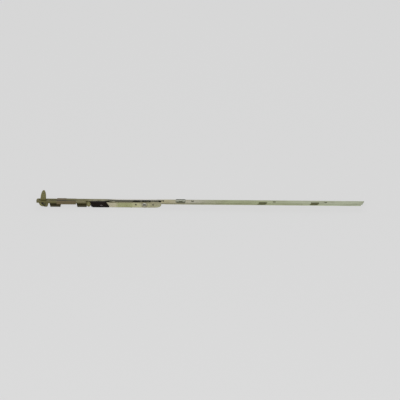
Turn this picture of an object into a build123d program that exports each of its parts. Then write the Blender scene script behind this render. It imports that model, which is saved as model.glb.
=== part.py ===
from build123d import *
from math import acos, ceil, cos, degrees, hypot, pi, radians, sin, sqrt, tan
import os

# Window espagnolette for a narrow sash groove.
# A long faceplate carries a drive rod behind it. A square spindle turns a pinion in the gear
# case, the pinion shifts the rack and both rods, and the rod's left end swings a tongue.
# Millimetres. X runs along the faceplate, Y across it, Z out of its front face. The origin is
# on the faceplate's back face, at the middle of its length and width.

os.makedirs("parts", exist_ok=True)

# Overall sizes
plate_length = 820.0
plate_width = 16.0
plate_thick = 2.5
groove_width = 12.0

# Faceplate details
end_slant = 7.0
plate_corner = 4.0
front_corner = 6.5
rivet_flare = 0.8
screw_hole_radius = 2.25
screw_head_radius = 4.0
screw_sink_depth = 1.9
housing_notch_depth = 4.5
stud_slot_extra = 5.0
window_right_extra = 8.5
opening_front = 5.9
opening_back = 0.5
opening_corner = 0.8
opening_margin = 1.5
opening_past_stud = 3.0
short_opening = 6.5
tongue_slot_extra = 2.0
tab_inset = 1.6
tab_length = 4.0
case_tab_length = 8.0
case_tab_inset = 14.0
case_tab_before_screw = 4.0

# Broken edges, and how far a cutter reaches past what it cuts
edge_break = 0.4
past = 1.0

# Clearances
slide_gap = 0.4
side_gap = 0.3
turn_gap = 0.05
seat_gap = 0.1

# Gear
gear_module = 0.6
pressure_angle = radians(20)
tooth_backlash = 0.14
pinion_width = 5.0
spindle_square = 7.0
spindle_corner = 1.0
hub_wall = 0.56
root_wall = 0.1
handle_turn = radians(90)

# Drive rods
web_thick = 1.8
rod_inset = 0.5
left_rod_height = 3.6
right_rod_height = 4.0
rod_end_margin = 2.5
coupler_margin = 0.5
coupler_length = 30.0
coupler_tooth = 2.0
coupler_tooth_depth = 1.1
coupler_plain = 8.0
coupler_rivet_inset = 4.0
tine_start = 2.6
tine_length = 6.0
tine_taper = 2.5
arm_wall = 1.2
rack_thick = 4.0
rack_bar = 0.7
rack_riser = 5.0
rack_rivet_radius = 1.0
rack_rivet_depth = 4.0
rack_foot = 1.7
rivet_radius = 1.5
stud_head = 0.8
stud_head_height = 0.8

# Gear case
case_wall = 1.1
case_floor = 0.6
case_nose = 27.0
case_left_slant = 9.0
case_mouth_depth = 3.0
screw_spacing = 43.0
sleeve_radius = 3.0
sleeve_bore = 2.6
ring_radius = 8.2
ring_height = 0.5
seam_depth = 0.35
seam_height = 0.8
seam_z = -9.6
seam_left_inset = 6.0
seam_right_inset = 8.0
crimp_length = 2.6
crimp_drop = 0.6
crimps_from_follower = (-32.5, 11.3)
far_rivet_back = 66.0
far_rivet_drop = 0.6
low_rivet_back = 47.0
low_rivet_drop = 2.0
case_rivet_head = 0.9
case_rivet_head_height = 0.6

# Tongue and head
tongue_reach = 34.7
tongue_width = 13.5
tongue_taper = 22.0
quarter_handle = 0.5523
tongue_thick = 3.8
tongue_swing = radians(83)
tongue_hub_radius = 10.0
pivot_z = -5.0
pivot_radius = 2.5
pivot_drop_to_drive = 6.2
drive_pin_radius = 1.5
cheek_thick = 1.3
cheek_lug = 4.4
tongue_hole_radius = 1.2
tongue_holes_back = (6.5, 17.5)
fork_overrun = 4.0
bracket_inset = 0.5
bracket_thick = 3.0
cheek_inset = 2.0

# Blocks below the rod
block_bottom = -13.8
block_chamfer = 1.8
block_lead = 0.5
block_lead_depth = 2.0
block_rivet_depth = 3.0
rib_width = 6.4
pocket_rib = 7.0
pocket_end_gap = 0.7
guide_rib_inset = 7.0
guide_rib = 8.0
housing_rib_inset = 1.0
housing_rib = 5.0

# Lever housing and lever
housing_depth = 4.1
housing_skin = 0.6
housing_slant = 9.0
housing_lift = 1.6
housing_land = 1.0
housing_cut = 6.0
housing_cut_height = 5.4
housing_knee = 2.0
housing_knee_height = 1.6
panel_depth = 0.7
panel_past_pin = 5.0
panel_margin = 3.0
panel_lift = 4.5
panel_top = -2.0
panel_rib = 1.2
lever_thick = 0.9
lever_top = -1.5
lever_bottom = -5.0
lever_length = 22.0
lever_pin_radius = 0.7
lever_eye_radius = 1.4
lever_pin_top = 1.6
lever_pin_bottom = -9.0
lever_pocket_past = 2.4
lever_notch_margin = 2.0
spring_wire = 0.2
spring_pitch = 0.6
spring_turns = 3
spring_clearance = 0.15
spring_pocket = 1.7
pad_z = -4.2
pad_half = 5.0
pad_height = 6.9
pad_hole_radius = 0.7
lever_beside_rod = 1.9
lever_rest = radians(4.2)

# Cam
cam_plate_length = 25.0
cam_plate_width = 14.6
cam_plate_thick = 1.2
cam_plate_corner = 3.0
cam_stud_radius = 2.2
cam_head = 1.0
cam_head_height = 0.6
cam_roller_radius = 4.8
cam_roller_height = 1.2
cam_roller_chamfer = 0.4

# Rod clips
clip_length = 19.5
clip_wall = 1.1
clip_lean = 2.0
clip_cover = 4.5
clip_rib = 0.8
clip_rib_height = 0.3

# Saddle
saddle_wall = 0.8
saddle_lip = 3.4
saddle_hook_gap = 1.0

# Lengths and places along the faceplate, in order from its left end
pivot_at = 16.0
saddle_after_tongue = 0.3
saddle_length = 48.0
saddle_cap_length = 23.0
pocket_length = 28.5
pocket_end_wall = 10.8
guide_after_saddle = 1.5
guide_length = 26.5
housing_after_guide = 9.0
housing_length = 47.0
first_screw_in_housing = 20.0
lever_pin_in_housing = 12.0
case_gap = 0.6
follower_after_housing = 87.0
left_stud_before_follower = 13.0
case_right_of_follower = 42.5
right_stud_after_follower = 47.0
cam_after_follower = 90.5
second_screw_after_follower = 120.0

# Places along the faceplate, back from its right end
third_screw_back = 225.5
fourth_screw_back = 97.0
clips_back = (256.0, 126.0)

# Worked out from the sizes above
left_end = -plate_length / 2
right_end = plate_length / 2
half_width = plate_width / 2
half_groove = groove_width / 2
spindle_reach = spindle_square / sqrt(2) - spindle_corner * (sqrt(2) - 1)
hub_radius = spindle_reach + hub_wall
pinion_z = -(hub_radius + slide_gap)
addendum = 0.92 * gear_module
dedendum = 1.25 * gear_module
least_pitch_radius = hub_radius + root_wall + dedendum
teeth_per_quarter = ceil(least_pitch_radius / (2 * gear_module))
pinion_teeth = 4 * teeth_per_quarter
pitch_radius = gear_module * pinion_teeth / 2
base_radius = pitch_radius * cos(pressure_angle)
pinion_outer = pitch_radius + addendum
pinion_root = pitch_radius - dedendum
tooth_pitch = pi * gear_module
travel = handle_turn * pitch_radius
rod_half = half_groove - rod_inset
cheek_inner = tongue_thick / 2 + side_gap
cheek_outer = cheek_inner + cheek_thick
tine_inner = cheek_outer + side_gap
narrow_half = half_groove - case_wall - side_gap
rod_top = -slide_gap
web_bottom = rod_top - web_thick
left_rod_bottom = rod_top - left_rod_height
right_rod_bottom = rod_top - right_rod_height
block_top = left_rod_bottom - slide_gap
pivot_x = left_end + pivot_at
drive_pin_x = pivot_x + travel / 2
drive_pin_z = pivot_z - pivot_drop_to_drive
tongue_tip_x = pivot_x + tongue_reach
tongue_lean = pi / 2 - tongue_swing
pocket_right = tongue_tip_x + pocket_end_wall
pocket_left = pocket_right - pocket_length
saddle_left = tongue_tip_x + saddle_after_tongue
saddle_right = saddle_left + saddle_length
guide_left = saddle_right + guide_after_saddle
guide_right = guide_left + guide_length
housing_left = guide_right + housing_after_guide
housing_right = housing_left + housing_length
follower_x = housing_right + follower_after_housing
rack_pitch_z = pinion_z - pitch_radius
rack_bottom = rack_pitch_z - dedendum - rack_bar
case_bottom = rack_bottom - side_gap - case_floor
case_left = housing_right - housing_slant + case_gap
case_right = follower_x + case_right_of_follower
case_ceiling = web_bottom - side_gap
screw_offset = screw_spacing / 2
screw_pass = sleeve_radius + side_gap
left_stud_x = follower_x - left_stud_before_follower
right_stud_x = follower_x + right_stud_after_follower
left_riser_right = follower_x - screw_offset - screw_pass
left_riser_left = left_riser_right - rack_riser
right_riser_left = follower_x + screw_offset + screw_pass + travel
right_riser_right = right_riser_left + rack_riser
left_rod_end = follower_x - pinion_outer - side_gap
right_rod_start = follower_x + pinion_outer + side_gap + travel
fork_root = pocket_right + travel + side_gap
guide_rib_left = guide_left + guide_rib_inset
guide_rib_right = guide_rib_left + guide_rib
housing_rib_left = housing_left + housing_rib_inset
housing_rib_right = housing_rib_left + housing_rib
housing_front = rod_half + housing_depth
housing_bottom = case_bottom + housing_lift
lever_pin_x = housing_left + lever_pin_in_housing
lever_y = -(rod_half + lever_beside_rod)
spring_bottom = lever_top + 2 * spring_wire
notch_left = lever_pin_x - lever_length - lever_notch_margin
cam_x = follower_x + cam_after_follower
screw_places = (
    housing_left + first_screw_in_housing,
    follower_x + second_screw_after_follower,
    right_end - third_screw_back,
    right_end - fourth_screw_back,
)


# Helpers
def slab(x0, x1, y0, y1, z0, z1):
    """Box between two corners."""
    middle = Pos((x0 + x1) / 2, (y0 + y1) / 2, (z0 + z1) / 2)
    return middle * Box(x1 - x0, y1 - y0, z1 - z0)


def post(x, y, z0, z1, radius):
    """Round bar along Z."""
    return Pos(x, y, (z0 + z1) / 2) * Cylinder(radius, z1 - z0)


def crossbar(x, z, y0, y1, radius):
    """Round bar along Y."""
    return Pos(x, (y0 + y1) / 2, z) * Rot(90, 0, 0) * Cylinder(radius, y1 - y0)


def slot(x0, x1, width, z0, z1):
    """Round-ended slot along X, cut down through Z."""
    outline = Pos((x0 + x1) / 2, 0, z0) * SlotOverall(x1 - x0, width)
    return extrude(outline, amount=z1 - z0)


def side_plate(points, y0, y1):
    """Plate whose outline is given by X and Z, between two Y places."""
    outline = Polyline([(x, y0, z) for x, z in points], close=True)
    return extrude(make_face(outline), amount=y1 - y0, dir=(0, 1, 0))


def countersunk(x, y, z, hole, head, depth):
    """Cutter for a countersunk hole whose head is at Z."""
    cone = Pos(x, y, z - depth / 2) * Cone(hole, head, depth)
    return cone + post(x, y, z - 4 * depth, z, hole)


# Faceplate
def rivet_places():
    """X places of the rivets that hold the blocks."""
    pocket = pocket_right - pocket_rib / 2
    guide = (guide_rib_left + guide_rib_right) / 2
    housing = (housing_rib_left + housing_rib_right) / 2
    return pocket, guide, housing


def bracket_tab():
    """X limits of the head bracket's tabs that are staked into the faceplate."""
    return left_end + tab_inset, left_end + tab_inset + tab_length


def case_tabs():
    """X limits of the two case tabs that are staked into the faceplate."""
    first = case_left + case_tab_inset
    second = follower_x + screw_offset - case_tab_before_screw
    return (first, first + case_tab_length), (second, second + case_tab_length)


def case_openings():
    """X limits of the openings in the faceplate's front half, through which the gears are greased."""
    left = left_stud_x - travel - stud_slot_extra - opening_margin
    middle = follower_x - pinion_outer + opening_margin
    right = right_stud_x - travel - opening_margin
    return (
        (left, left_stud_x + opening_past_stud),
        (middle, follower_x + pinion_outer + window_right_extra),
        (right, right + short_opening),
    )


def left_corner(plate, y):
    """Upright edge at the faceplate's left end that is nearest to Y."""
    return plate.edges().filter_by(Axis.Z).sort_by_distance((left_end, y, plate_thick / 2))[0]


def faceplate():
    outline = Polyline(
        (left_end, half_width),
        (right_end, half_width),
        (right_end - end_slant, -half_width),
        (left_end, -half_width),
        close=True,
    )
    plate = extrude(make_face(outline), amount=plate_thick)
    plate = fillet(left_corner(plate, -half_width), front_corner)
    plate = fillet(left_corner(plate, half_width), plate_corner)
    plate = chamfer(plate.faces().sort_by(Axis.Z)[-1].edges(), edge_break)
    below = -seat_gap
    above = plate_thick + seat_gap
    hub_reach = tongue_hub_radius + side_gap
    tongue_slot_right = tongue_tip_x + tongue_slot_extra
    plate -= slot(pivot_x - hub_reach, tongue_slot_right, tongue_thick + 2 * side_gap, below, above)
    notch_top = -half_width + housing_notch_depth
    plate -= slab(notch_left, housing_right, -plate_width, notch_top, below, above)
    stud_slot = 2 * rivet_radius + 2 * side_gap
    slot_half = stud_slot / 2
    slot_start = left_stud_x - travel - stud_slot_extra
    plate -= slot(slot_start, left_stud_x + slot_half, stud_slot, below, above)
    slot_start = right_stud_x - travel - slot_half
    plate -= slot(slot_start, right_stud_x + slot_half, stud_slot, below, above)
    window = pinion_outer + side_gap
    plate -= slab(
        follower_x - window,
        follower_x + window + window_right_extra,
        -pinion_width / 2 - side_gap,
        pinion_width / 2 + side_gap,
        below,
        above,
    )
    for x0, x1 in case_openings():
        opening = slab(x0, x1, -opening_front, -opening_back, below, above)
        plate -= fillet(opening.edges().filter_by(Axis.Z), opening_corner)
    cam_slot = cam_stud_radius + side_gap
    plate -= slot(cam_x - travel - cam_slot, cam_x + cam_slot, 2 * cam_slot, below, above)
    for x in screw_places:
        plate -= countersunk(x, 0, plate_thick, screw_hole_radius, screw_head_radius, screw_sink_depth)
    for x in rivet_places():
        plate -= countersunk(x, 0, plate_thick, rivet_radius, rivet_radius + rivet_flare, rivet_flare)
    for x0, x1 in case_tabs():
        for side in (-1, 1):
            inner, outer = sorted((side * (half_groove - case_wall), side * half_groove))
            plate -= slab(x0, x1, inner, outer, below, above)
    for side in (-1, 1):
        x0, x1 = bracket_tab()
        inner, outer = sorted((side * cheek_outer, side * rod_half))
        plate -= slab(x0, x1, inner, outer, below, above)
    return plate


# Rods
def screw_slots(rod, places, z0):
    """Cut the slots through which the faceplate screws pass."""
    reach = screw_hole_radius + side_gap
    for x in places:
        rod -= slot(x - reach, x + travel + reach, 2 * reach, z0, 0)
    return rod


def left_rod():
    drop_left = drive_pin_x + tine_start
    drop_right = drop_left + tine_length
    wide_right = case_left - side_gap
    floor = left_rod_bottom - seat_gap
    rod = slab(drop_left, wide_right, -rod_half, rod_half, left_rod_bottom, rod_top)
    rod -= slab(drop_left - past, wide_right + past, -tine_inner, tine_inner, floor, web_bottom)
    rod += slab(wide_right - past, left_rod_end, -narrow_half, narrow_half, web_bottom, rod_top)
    rod -= slab(drop_left - past, fork_root, -tine_inner, tine_inner, floor, 0)
    arm_half = drive_pin_radius + arm_wall
    for side in (-1, 1):
        y0, y1 = sorted((side * tine_inner, side * rod_half))
        tine = side_plate(
            [
                (drop_left, left_rod_bottom),
                (drop_right, left_rod_bottom),
                (drop_right, drive_pin_z + arm_half),
                (drop_right - tine_taper, drive_pin_z - arm_half),
                (drive_pin_x, drive_pin_z - arm_half),
                (drive_pin_x, drive_pin_z + arm_half),
                (drop_left, drive_pin_z + arm_half),
            ],
            y0,
            y1,
        )
        tine += crossbar(drive_pin_x, drive_pin_z, y0, y1, arm_half)
        rod += tine
    rod -= crossbar(drive_pin_x, drive_pin_z, -groove_width, groove_width, drive_pin_radius)
    rib_half = rib_width / 2 + side_gap
    for x0, x1 in ((guide_rib_left, guide_rib_right), (housing_rib_left, housing_rib_right)):
        rod -= slab(x0 - side_gap, x1 + travel + side_gap, -rib_half, rib_half, floor, 0)
    rod = screw_slots(rod, screw_places[:1], floor)
    rod -= post((left_riser_left + left_riser_right) / 2, 0, floor, 0, rivet_radius)
    rod -= post(left_stud_x, 0, floor, 0, rivet_radius)
    return rod


def right_rod():
    wide_left = case_right + travel + side_gap
    rod_right = right_end - end_slant - rod_end_margin
    floor = right_rod_bottom - seat_gap
    flange_left = case_right + side_gap
    rod = slab(wide_left, rod_right, -rod_half, rod_half, right_rod_bottom, rod_top)
    rod += slab(flange_left, wide_left + past, -narrow_half, narrow_half, right_rod_bottom, rod_top)
    rod -= slab(flange_left - past, rod_right + past, -tine_inner, tine_inner, floor, web_bottom)
    rod += slab(right_rod_start, flange_left + past, -narrow_half, narrow_half, web_bottom, rod_top)
    rod = screw_slots(rod, screw_places[1:], floor)
    rod -= post((right_riser_left + right_riser_right) / 2, 0, floor, 0, rivet_radius)
    rod -= post(right_stud_x, 0, floor, 0, rivet_radius)
    rod -= post(cam_x, 0, floor, 0, cam_stud_radius)
    for x in coupler_rivets():
        rod -= post(x, 0, floor, 0, rivet_radius)
    return rod


def coupler_limits():
    """X limits of the toothed piece at the rod's right end."""
    right = right_end - end_slant - rod_end_margin - coupler_margin
    return right - coupler_length, right


def coupler_rivets():
    left, right = coupler_limits()
    return left + coupler_rivet_inset, right - coupler_rivet_inset


def end_coupler():
    """Toothed strip in the rod's end, where an extension rod hooks in."""
    left, right = coupler_limits()
    half = tine_inner - turn_gap
    strip = slab(left, right, -half, half, right_rod_bottom, web_bottom)
    count = int((right - left - 2 * coupler_plain) / coupler_tooth)
    for index in range(count):
        x = left + coupler_plain + index * coupler_tooth
        notch = [
            (x, right_rod_bottom),
            (x + coupler_tooth, right_rod_bottom),
            (x, right_rod_bottom + coupler_tooth_depth),
        ]
        strip -= side_plate(notch, -half, half)
    for x in coupler_rivets():
        strip -= post(x, 0, right_rod_bottom - past, 0, rivet_radius)
    return strip


def coupler_rivet_group():
    return [post(x, 0, right_rod_bottom, rod_top, rivet_radius) for x in coupler_rivets()]


# Gear
def involute(angle):
    return tan(angle) - angle


def tooth_half_angle(radius):
    """Half of the angle that a pinion tooth spans at a radius."""
    at_pitch = pi / (2 * pinion_teeth) - tooth_backlash / (4 * pitch_radius)
    pressure = acos(base_radius / max(radius, base_radius))
    return at_pitch + involute(pressure_angle) - involute(pressure)


def pinion_outline():
    """X and Z points of the pinion, with one tooth pointing straight down."""
    steps = 5
    radii = [base_radius + (pinion_outer - base_radius) * i / steps for i in range(steps + 1)]
    radii = [pinion_root] + radii
    points = []
    for tooth in range(pinion_teeth):
        middle = -pi / 2 + 2 * pi * tooth / pinion_teeth
        rising = [(radius, middle - tooth_half_angle(radius)) for radius in radii]
        falling = [(radius, middle + tooth_half_angle(radius)) for radius in reversed(radii)]
        for radius, angle in rising + falling:
            points.append((follower_x + radius * cos(angle), pinion_z + radius * sin(angle)))
    return points


def follower():
    """Pinion and hub in one piece, with the square hole for the spindle."""
    half = pinion_width / 2
    piece = side_plate(pinion_outline(), -half, half)
    piece += crossbar(follower_x, pinion_z, -half_groove, half_groove, hub_radius)
    square = slab(
        follower_x - spindle_square / 2,
        follower_x + spindle_square / 2,
        -groove_width,
        groove_width,
        pinion_z - spindle_square / 2,
        pinion_z + spindle_square / 2,
    )
    square = fillet(square.edges().filter_by(Axis.Y), spindle_corner)
    return piece - square


def rack():
    """U-shaped plate with teeth below the pinion and a riser to each rod."""
    lean = tan(pressure_angle)
    tip_half = tooth_pitch / 4 - tooth_backlash / 4 - addendum * lean
    root_half = tooth_pitch / 4 - tooth_backlash / 4 + dedendum * lean
    root_z = rack_pitch_z - dedendum
    tip_z = rack_pitch_z + addendum
    first_tooth = -3
    last_tooth = int((right_rod_start - follower_x) / tooth_pitch) - 1
    bar_top = pinion_z - sleeve_radius - side_gap
    points = [(left_riser_right, web_bottom), (left_riser_right, root_z)]
    for tooth in range(first_tooth, last_tooth):
        x = follower_x + (tooth + 0.5) * tooth_pitch
        points += [(x - root_half, root_z), (x - tip_half, tip_z)]
        points += [(x + tip_half, tip_z), (x + root_half, root_z)]
    points += [
        (right_rod_start, root_z),
        (right_rod_start, bar_top),
        (right_riser_left, bar_top),
        (right_riser_left, web_bottom),
        (right_riser_right, web_bottom),
        (right_riser_right, pinion_z),
        (right_riser_left, bar_top - rack_foot),
        (right_riser_left - travel, bar_top - rack_foot),
        (right_rod_start, rack_bottom),
        (left_riser_left, rack_bottom),
        (left_riser_left, web_bottom),
    ]
    piece = side_plate(points, -rack_thick / 2, rack_thick / 2)
    for x in rack_rivet_places():
        piece -= post(x, 0, web_bottom - rack_rivet_depth, 0, rack_rivet_radius)
    return piece


def rack_rivet_places():
    left = (left_riser_left + left_riser_right) / 2
    right = (right_riser_left + right_riser_right) / 2
    return left, right


def rack_rivets():
    """Rivets from the rods' top faces down into the rack's risers."""
    group = []
    for x in rack_rivet_places():
        head = post(x, 0, web_bottom, rod_top, rivet_radius)
        group.append(head + post(x, 0, web_bottom - rack_rivet_depth, web_bottom, rack_rivet_radius))
    return group


def guide_stud(x):
    """Flat-headed stud that holds a rod up to the faceplate through a slot."""
    head_bottom = plate_thick + seat_gap
    stud = post(x, 0, web_bottom, head_bottom, rivet_radius)
    head = post(x, 0, head_bottom, head_bottom + stud_head_height, rivet_radius + stud_head)
    return stud + chamfer(head.edges().group_by(Axis.Z)[-1], edge_break)


# Gear case
def case_body(y0, y1, inset):
    """Case-shaped solid whose nose is an ellipse, drawn in by an inset."""
    nose_start = case_right - case_nose
    bottom = case_bottom + inset
    top = case_ceiling if inset else 0
    wall = inset * hypot(1, case_left_slant / case_bottom)
    left_top = (case_left + case_left_slant * top / case_bottom + wall, y0, top)
    left_bottom = (case_left + case_left_slant * bottom / case_bottom + wall, y0, bottom)
    nose_foot = (nose_start, y0, bottom)
    nose_top = (case_right - inset, y0, case_ceiling)
    edges = [Line(left_top, left_bottom), Line(left_bottom, nose_foot), nose_curve(nose_foot, nose_top)]
    if inset:
        edges.append(Line(nose_top, left_top))
    else:
        edges.append(Line(nose_top, (case_right, y0, top)))
        edges.append(Line((case_right, y0, top), left_top))
    return extrude(make_face(edges), amount=y1 - y0, dir=(0, 1, 0))


def nose_curve(start, finish):
    """Quarter-ellipse-like curve, level at its start and upright at its finish."""
    return Spline(start, finish, tangents=[(1, 0, 0), (0, 0, 1)])


def case_shell(side):
    """One half of the case. Side is -1 for the front half and 1 for the back half."""
    y0, y1 = sorted((0, side * half_groove))
    shell = case_body(y0, y1, 0)
    outer_face = shell.faces().filter_by(Axis.Y).sort_by(Axis.Y)[-1 if side > 0 else 0]
    shell = chamfer(outer_face.edges().filter_by(lambda edge: edge.center().Z < -seat_gap), edge_break)
    inner0, inner1 = sorted((0, side * (half_groove - case_wall)))
    if side < 0:
        inner1 += seat_gap
    else:
        inner0 -= seat_gap
    shell -= case_body(inner0, inner1, case_floor)
    shell -= slab(case_left - past, case_right + past, inner0, inner1, case_ceiling, seat_gap)
    mouth = right_rod_bottom - side_gap
    shell -= slab(case_right - case_mouth_depth, case_right + past, inner0, inner1, mouth, seat_gap)
    bore0, bore1 = sorted((0, side * groove_width))
    shell -= crossbar(follower_x, pinion_z, bore0, bore1, hub_radius + turn_gap)
    for x in sleeve_places():
        shell -= crossbar(x, pinion_z, bore0, bore1, sleeve_bore)
    for x, z in case_rivet_places():
        shell -= crossbar(x, z, bore0, bore1, rivet_radius)
    seam_left = case_left + case_left_slant + seam_left_inset
    seam_right = case_right - case_nose + seam_right_inset
    y0, y1 = sorted((side * half_groove, side * (half_groove - seam_depth)))
    shell -= slab(seam_left, seam_right, y0, y1, seam_z - seam_height / 2, seam_z + seam_height / 2)
    if side < 0:
        for x in crimp_places():
            shell += slab(
                x - crimp_length / 2,
                x + crimp_length / 2,
                -half_groove + edge_break,
                0,
                case_bottom - crimp_drop,
                case_bottom + case_floor / 2,
            )
    return shell + case_tab_pair(side)


def crimp_places():
    """X places of the front shell's crimps on the bottom edge."""
    return [follower_x + offset for offset in crimps_from_follower]


def case_tab_pair(side):
    tabs = []
    for x0, x1 in case_tabs():
        y0, y1 = sorted((side * (half_groove - case_wall), side * half_groove))
        tabs.append(slab(x0 + seat_gap, x1 - seat_gap, y0, y1, -past, plate_thick))
    return Part() + tabs


def hub_ring(side):
    """Raised ring around the hub's bore on the outside of a shell."""
    y0, y1 = sorted((side * half_groove, side * (half_groove + ring_height)))
    ring = crossbar(follower_x, pinion_z, y0, y1, ring_radius)
    ring -= slab(follower_x - ring_radius, follower_x + ring_radius, y0, y1, 0, ring_radius)
    return ring - crossbar(follower_x, pinion_z, y0 - past, y1 + past, hub_radius + 2 * turn_gap)


def sleeve_places():
    return follower_x - screw_offset, follower_x + screw_offset


def screw_sleeves():
    """Tubes between the shells, for the screws that hold the handle."""
    reach = half_groove - case_wall
    group = []
    for x in sleeve_places():
        tube = crossbar(x, pinion_z, -reach, reach, sleeve_radius)
        group.append(tube - crossbar(x, pinion_z, -reach - past, reach + past, sleeve_bore))
    return group


def case_rivet_places():
    """X and Z places of the rivets that close the case."""
    far = (follower_x - far_rivet_back, pinion_z - far_rivet_drop)
    low = (follower_x - low_rivet_back, pinion_z - low_rivet_drop)
    return far, low


def case_rivets():
    """Rivets across the case, each with a low round head on both sides."""
    group = []
    for x, z in case_rivet_places():
        rivet = crossbar(x, z, -half_groove, half_groove, rivet_radius)
        for side in (-1, 1):
            y0, y1 = sorted((side * half_groove, side * (half_groove + case_rivet_head_height)))
            head = crossbar(x, z, y0, y1, rivet_radius + case_rivet_head)
            outer_edge = head.edges().group_by(Axis.Y)[-1 if side > 0 else 0]
            rivet += fillet(outer_edge, edge_break)
        group.append(rivet)
    return group


# Tongue and head
def fork_reach():
    """Half the width that the fork needs for the drive pin over the whole swing."""
    widest = 0
    steps = 24
    direction = fork_direction()
    for step in range(steps + 1):
        share = step / steps
        swing = tongue_swing * share
        along = travel / 2 - travel * share
        down = -pivot_drop_to_drive
        x = along * cos(swing) - down * sin(swing)
        z = along * sin(swing) + down * cos(swing)
        widest = max(widest, abs(x * direction[1] - z * direction[0]))
    return widest + drive_pin_radius + side_gap / 2


def fork_direction():
    """Unit X and Z direction of the fork from the pivot, in the middle of the pin's path."""
    half_swing = tongue_swing / 2
    return sin(half_swing), -cos(half_swing)


def tongue():
    """Flat tongue with a half-elliptic tip, a round hub and a fork for the drive pin."""
    half = tongue_thick / 2
    shoulder_z = pivot_z + tongue_reach - tongue_taper
    blade_half = tongue_width / 2
    tip_z = pivot_z + tongue_reach
    left = Bezier(
        (pivot_x - blade_half, -half, shoulder_z),
        (pivot_x - blade_half, -half, shoulder_z + quarter_handle * tongue_taper),
        (pivot_x - quarter_handle * blade_half, -half, tip_z),
        (pivot_x, -half, tip_z),
    )
    right = mirror(left, Plane((pivot_x, 0, 0), z_dir=(1, 0, 0)))
    foot = Polyline(
        (pivot_x - blade_half, -half, shoulder_z),
        (pivot_x - blade_half, -half, pivot_z),
        (pivot_x + blade_half, -half, pivot_z),
        (pivot_x + blade_half, -half, shoulder_z),
    )
    blade = extrude(make_face([left, right, foot]), amount=tongue_thick, dir=(0, 1, 0))
    blade += crossbar(pivot_x, pivot_z, -half, half, tongue_hub_radius)
    blade = chamfer(blade.faces().filter_by(Axis.Y).edges(), edge_break)
    for back in tongue_holes_back:
        hole_z = tip_z - back
        blade -= crossbar(pivot_x, hole_z, -half - past, half + past, tongue_hole_radius)
    blade = blade.rotate(Axis((pivot_x, 0, pivot_z), (0, 1, 0)), degrees(tongue_lean))
    blade -= fork_cut(half)
    return blade - crossbar(pivot_x, pivot_z, -half - past, half + past, pivot_radius + turn_gap)


def fork_cut(half):
    """Straight open slot from the hub's inside to beyond its edge."""
    dx, dz = fork_direction()
    reach = fork_reach()
    inner = pivot_drop_to_drive
    outer = tongue_hub_radius + fork_overrun
    near = (pivot_x + inner * dx, pivot_z + inner * dz)
    far = (pivot_x + outer * dx, pivot_z + outer * dz)
    corners = [
        (near[0] - reach * dz, near[1] + reach * dx),
        (far[0] - reach * dz, far[1] + reach * dx),
        (far[0] + reach * dz, far[1] - reach * dx),
        (near[0] + reach * dz, near[1] - reach * dx),
    ]
    cut = side_plate(corners, -half - past, half + past)
    return cut + crossbar(near[0], near[1], -half - past, half + past, reach)


def head_bracket():
    """Bracket at the left end, with a cheek on each side of the tongue."""
    base_left = left_end + bracket_inset
    base_right = drive_pin_x - travel - drive_pin_radius - arm_wall - side_gap
    cheek_right = pivot_x + tongue_hub_radius
    foot = -bracket_thick
    base = slab(base_left, base_right, -rod_half, rod_half, foot, 0)
    hub_left = pivot_x - tongue_hub_radius - side_gap
    bracket = base - slab(hub_left, base_right + past, -cheek_inner, cheek_inner, foot - past, past)
    for side in (-1, 1):
        y0, y1 = sorted((side * cheek_inner, side * cheek_outer))
        cheek = slab(base_left + cheek_inset, cheek_right, y0, y1, pivot_z, 0)
        cheek += crossbar(pivot_x, pivot_z, y0, y1, cheek_lug)
        cheek -= slab(pivot_x + cheek_lug, cheek_right + past, y0, y1, pivot_z - past, foot)
        cheek -= slab(base_left, pivot_x - cheek_lug, y0, y1, pivot_z - past, foot)
        bracket += cheek
        x0, x1 = bracket_tab()
        y0, y1 = sorted((side * cheek_outer, side * rod_half))
        bracket += slab(x0 + seat_gap, x1 - seat_gap, y0, y1, -past, plate_thick)
    return bracket - crossbar(pivot_x, pivot_z, -groove_width, groove_width, pivot_radius)


def pivot_pin():
    return crossbar(pivot_x, pivot_z, -cheek_outer, cheek_outer, pivot_radius)


def drive_pin():
    return crossbar(drive_pin_x, drive_pin_z, -rod_half, rod_half, drive_pin_radius)


# Blocks
def block_body(x0, x1):
    """Block with slanted lower ends below the rod."""
    points = [
        (x0, block_top),
        (x1, block_top),
        (x1 - block_lead, block_top - block_lead_depth),
        (x1 - block_chamfer, block_bottom),
        (x0 + block_chamfer, block_bottom),
        (x0 + block_lead, block_top - block_lead_depth),
    ]
    block = side_plate(points, -half_groove, half_groove)
    return chamfer(block.faces().filter_by(Axis.Y).edges(), edge_break)


def rib(x0, x1, rivet_x):
    """Rib that reaches up between the rod's flanges to the faceplate."""
    body = slab(x0, x1, -rib_width / 2, rib_width / 2, block_top - past / 2, 0)
    return body, post(rivet_x, 0, block_top - block_rivet_depth, past, rivet_radius)


def tongue_pocket():
    """Block that the folded tongue drops into."""
    block = block_body(pocket_left, pocket_right)
    body, bore = rib(pocket_right - pocket_rib, pocket_right, rivet_places()[0])
    block += body
    half = tongue_thick / 2 + side_gap
    floor = pivot_z - tongue_width / 2 - side_gap
    block -= slab(pocket_left - past, tongue_tip_x + pocket_end_gap, -half, half, floor, past)
    return block - bore


def guide_block():
    """Block that keeps the left rod in line."""
    block = block_body(guide_left, guide_right)
    body, bore = rib(guide_rib_left, guide_rib_right, rivet_places()[1])
    return block + body - bore


def block_rivets():
    """Countersunk rivets from the faceplate into the blocks."""
    group = []
    for x in rivet_places():
        rivet = post(x, 0, block_top - block_rivet_depth, plate_thick, rivet_radius)
        head = Cone(rivet_radius, rivet_radius + rivet_flare, rivet_flare)
        group.append(rivet + Pos(x, 0, plate_thick - rivet_flare / 2) * head)
    return group


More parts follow.
